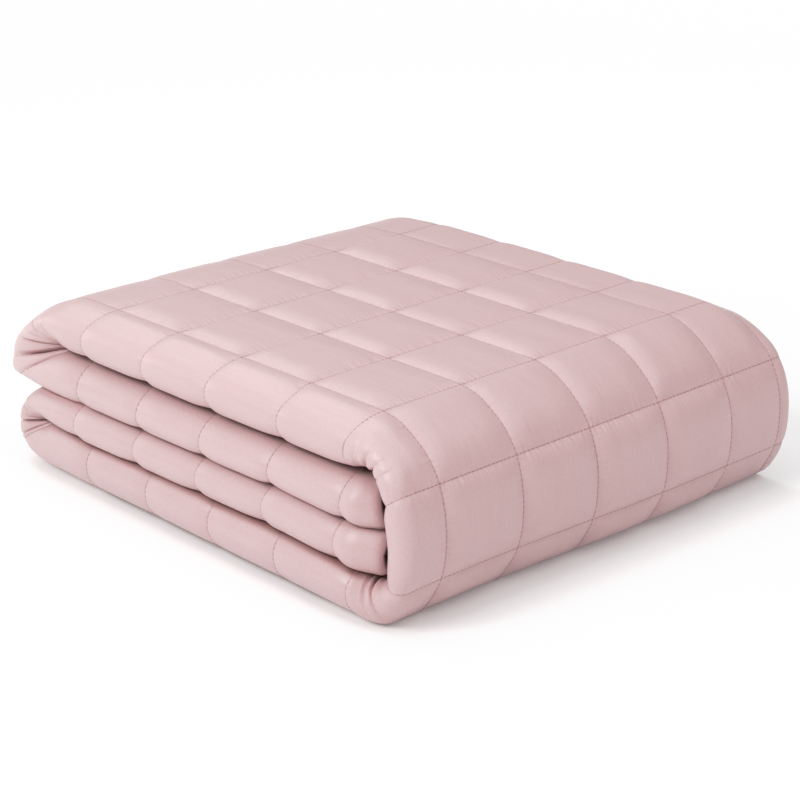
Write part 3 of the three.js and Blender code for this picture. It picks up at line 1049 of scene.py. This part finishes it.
# Studio: a pale floor whose glow grows with the distance from the pile, and the lamps
WORLD_LIGHT = 0.21
FLOOR_SIZE = 14
FLOOR_Z = -0.0005
FLOOR_COLOUR = (0.83, 0.83, 0.83, 1)
FLOOR_ROUGHNESS = 0.9
FLOOR_GLOW = 1.0
GLOW_FROM, GLOW_TO = 0.5, 2.4
LEAST_GLOW = (0.10, 0.10, 0.10, 1)
WHITE = (1, 1, 1, 1)
LAMPS_AIM = np.array([0, 0, 0.1])
LAMPS = (
    # name, place, width, height and power
    ("key", (-0.1, -2.8, 2.4), 1.5, 1.5, 63),
    ("gloss", (-3.2, 0.9, 3.0), 1.5, 1.5, 16),
    ("corner", (-2.8, -1.1, 1.0), 1.2, 1.2, 11),
    ("fill", (2.9, -0.3, 2.3), 1.8, 1.8, 9),
    ("overhead", (0.7, 0.2, 3.6), 7.0, 4.0, 103),
)

# Camera's response: light that falls on it, from 0 to LIGHT_RANGE, and light shown
LIGHT_RANGE = 1.4
ALL_COLOURS = 3
RESPONSE = (
    (0.0, 0.0),
    (0.1, 0.105),
    (0.2, 0.225),
    (0.3, 0.365),
    (0.4, 0.51),
    (0.5, 0.63),
    (0.6, 0.73),
    (0.7, 0.83),
    (0.8, 0.95),
    (0.9, 0.99),
    (1.0, 1.0),
    (1.4, 1.0),
)


def make_studio():
    """Pale floor that glows a little, soft light all round and the lamps above."""
    bpy.ops.mesh.primitive_plane_add(size=FLOOR_SIZE)
    floor = bpy.context.object
    floor.name = "studio_floor"
    floor.location.z = FLOOR_Z
    m = Material("pale_floor")
    place = m.node("ShaderNodeNewGeometry", output="Position")
    m.node("ShaderNodeVectorMath", {"operation": "LENGTH"}, [place])
    glow = 1 - m.near(m.last_output("Value") - GLOW_FROM, GLOW_TO - GLOW_FROM)
    shader = m.node(
        "ShaderNodeBsdfPrincipled",
        inputs={
            "Base Color": FLOOR_COLOUR, "Roughness": FLOOR_ROUGHNESS,
            "Emission Color": m.blend(glow, LEAST_GLOW, WHITE), "Emission Strength": FLOOR_GLOW,
        },
    )
    floor.data.materials.append(m.finish(shader))
    world = bpy.data.worlds.new("studio")
    world.use_nodes = True
    world.node_tree.nodes["Background"].inputs["Color"].default_value = WHITE
    world.node_tree.nodes["Background"].inputs["Strength"].default_value = WORLD_LIGHT
    bpy.context.scene.world = world
    for name, at, width, height, power in LAMPS:
        data = bpy.data.lights.new(name, "AREA")
        data.shape = "RECTANGLE"
        data.size, data.size_y = width, height
        data.energy = power
        lamp = bpy.data.objects.new(name, data)
        away = np.array([0, 0, 1]) if name == "overhead" else np.array(at) - LAMPS_AIM
        lamp.location = at
        lamp.rotation_euler = Matrix(look_frame(away).tolist()).to_euler()
        bpy.context.collection.objects.link(lamp)
    shown = bpy.context.scene.view_settings
    shown.view_transform = "Standard"
    shown.use_curve_mapping = True
    mapping = shown.curve_mapping
    mapping.white_level = (LIGHT_RANGE,) * 3
    curve = mapping.curves[ALL_COLOURS]
    curve.points[1].location = RESPONSE[-1][0] / LIGHT_RANGE, RESPONSE[-1][1]
    for light, display in RESPONSE[1:-1]:
        curve.points.new(light / LIGHT_RANGE, display)
    mapping.update()


def look_frame(away):
    """Axes of a lamp whose back faces that way, as the columns of a matrix."""
    z = away / np.linalg.norm(away)
    x = np.cross([0, 1, 0], z)
    x /= np.linalg.norm(x)
    return np.stack([x, np.cross(z, x), z], 1)


make_camera()
cloth, rows, table, place, out = make_cloth()
stitches = make_stitches(rows, table, place, out)
cloth.data.materials.append(cotton_material())
stitches.data.materials.append(thread_material())
make_studio()

for piece in (cloth, stitches):
    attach(piece, "root")
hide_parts("quilted_bedspread")
